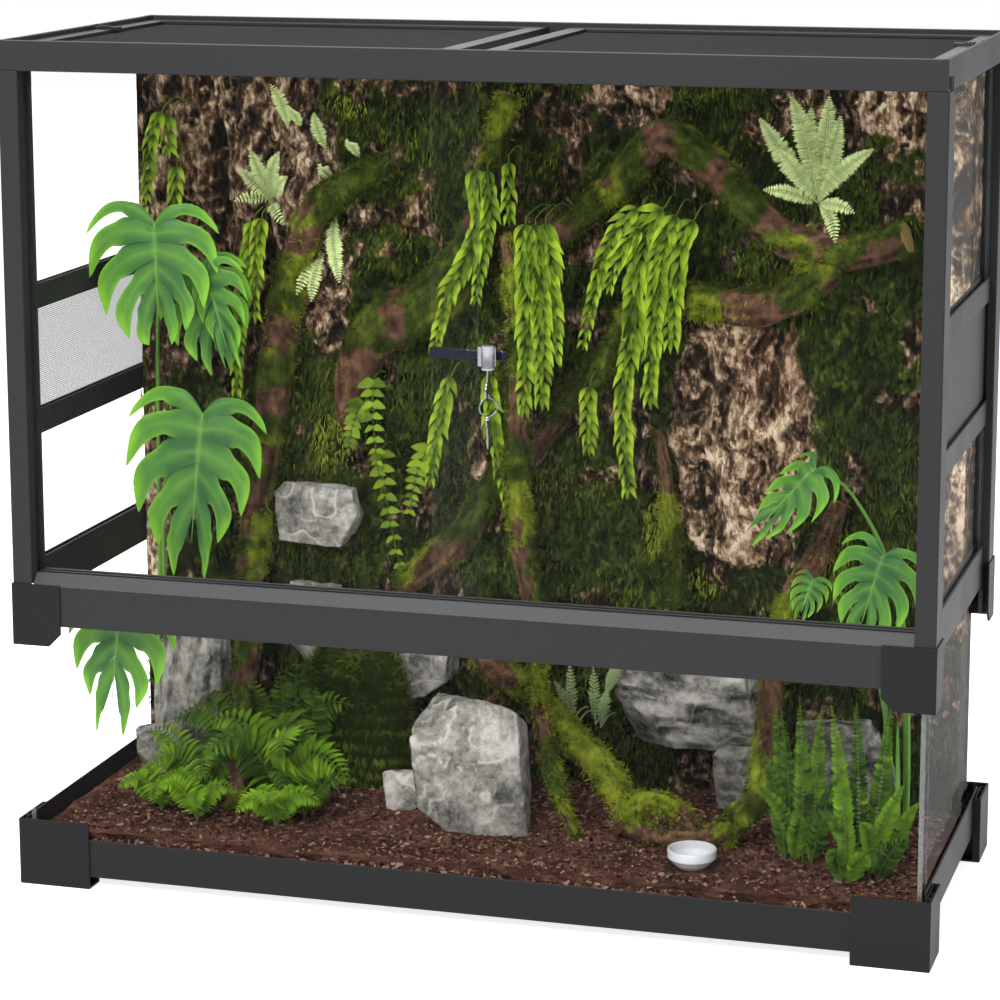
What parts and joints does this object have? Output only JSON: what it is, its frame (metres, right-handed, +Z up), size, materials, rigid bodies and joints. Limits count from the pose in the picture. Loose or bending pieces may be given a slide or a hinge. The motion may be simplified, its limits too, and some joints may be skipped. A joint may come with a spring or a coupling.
{
  "type": "reptile terrarium",
  "caption": "Planted glass terrarium in a dark frame, with sliding front doors and a ratchet lock, mesh end vents and lift-off mesh lids.",
  "frame": {"origin": "on the ground under the middle of the footprint", "axes": "+X to the right along the width, +Y to the back, +Z up"},
  "size_m": [1, 0.42, 0.92],
  "materials": {
    "frame_metal": "satin",
    "corner_plastic": "matte",
    "clear_glass": "polished",
    "lid_metal": "satin",
    "lid_mesh": "satin",
    "vent_mesh": "satin",
    "latch_plastic": "matte",
    "bar_steel": "brushed",
    "lock_chrome": "polished",
    "plug_brass": "satin",
    "key_steel": "polished",
    "soil": "matte",
    "bark_foam": "matte",
    "stone": "matte",
    "branch_moss": "matte",
    "broadleaf": "satin",
    "fern": "satin",
    "trailing_leaf": "satin",
    "dish": "satin"
  },
  "bodies": {
    "frame": {"base_rail_front": "frame_metal", "base_rail_back": "frame_metal", "base_rail_left": "frame_metal", "base_rail_right": "frame_metal", "corner_shoe_front_left": "corner_plastic", "corner_shoe_front_right": "corner_plastic", "corner_shoe_back_left": "corner_plastic", "corner_shoe_back_right": "corner_plastic", "bottom_pane": "clear_glass", "lower_pane_front": "clear_glass", "lower_pane_back": "clear_glass", "lower_pane_left": "clear_glass", "lower_pane_right": "clear_glass", "mid_rail_front": "frame_metal", "mid_rail_back": "frame_metal", "mid_rail_left": "frame_metal", "mid_rail_right": "frame_metal", "mid_corner_front_left": "corner_plastic", "mid_corner_front_right": "corner_plastic", "mid_corner_back_left": "corner_plastic", "mid_corner_back_right": "corner_plastic", "post_front_left": "frame_metal", "post_front_right": "frame_metal", "post_back_left": "frame_metal", "post_back_right": "frame_metal", "top_rail_front": "frame_metal", "top_rail_back": "frame_metal", "top_rail_left": "frame_metal", "top_rail_right": "frame_metal", "lid_support_bar": "frame_metal", "back_pane": "clear_glass", "side_panes_left": "clear_glass", "side_panes_right": "clear_glass", "vent_bars_left": "frame_metal", "vent_bars_right": "frame_metal", "vent_mesh_left": "vent_mesh", "vent_mesh_right": "vent_mesh", "soil": "soil", "back_wall": "bark_foam", "rocks": "stone", "branches": "branch_moss", "broadleaf_plants": "broadleaf", "ferns": "fern", "trailing_plants": "trailing_leaf", "water_dish": "dish"},
    "door_left": {"door_left": "clear_glass"},
    "door_right": {"door_right": "clear_glass", "ratchet_bar": "bar_steel"},
    "lock": {"lock_body": "lock_chrome"},
    "key": {"lock_plug": "plug_brass", "lock_key": "key_steel", "key_ring": "key_steel", "spare_key": "key_steel"},
    "lid_left": {"lid_frame_left": "lid_metal", "lid_mesh_left": "lid_mesh"},
    "lid_right": {"lid_frame_right": "lid_metal", "lid_mesh_right": "lid_mesh"},
    "latch_left": {"lid_latch_left": "latch_plastic"},
    "latch_right": {"lid_latch_right": "latch_plastic"}
  },
  "joints": [
    {"name": "left_door_slide", "type": "slide", "parent": "frame", "child": "door_left", "axis": [1, 0, 0], "range_m": [0, 0.4]},
    {"name": "right_door_slide", "type": "slide", "parent": "frame", "child": "door_right", "axis": [-1, 0, 0], "range_m": [0, 0.4]},
    {"name": "lock_slide", "type": "slide", "parent": "door_left", "child": "lock", "axis": [1, 0, 0], "range_m": [0, 0.028]},
    {"name": "key_turn", "type": "hinge", "parent": "lock", "child": "key", "pos_m": [0.0315, -0.1933, 0.607], "axis": [0, 0, 1], "range_deg": [0, 90]},
    {"name": "left_lid_lift", "type": "slide", "parent": "frame", "child": "lid_left", "axis": [0, 0, 1], "range_m": [0, 0.06]},
    {"name": "right_lid_lift", "type": "slide", "parent": "frame", "child": "lid_right", "axis": [0, 0, 1], "range_m": [0, 0.06]},
    {"name": "left_latch_slide", "type": "slide", "parent": "lid_left", "child": "latch_left", "axis": [1, 0, 0], "range_m": [0, 0.006]},
    {"name": "right_latch_slide", "type": "slide", "parent": "lid_right", "child": "latch_right", "axis": [-1, 0, 0], "range_m": [0, 0.006]}
  ]
}
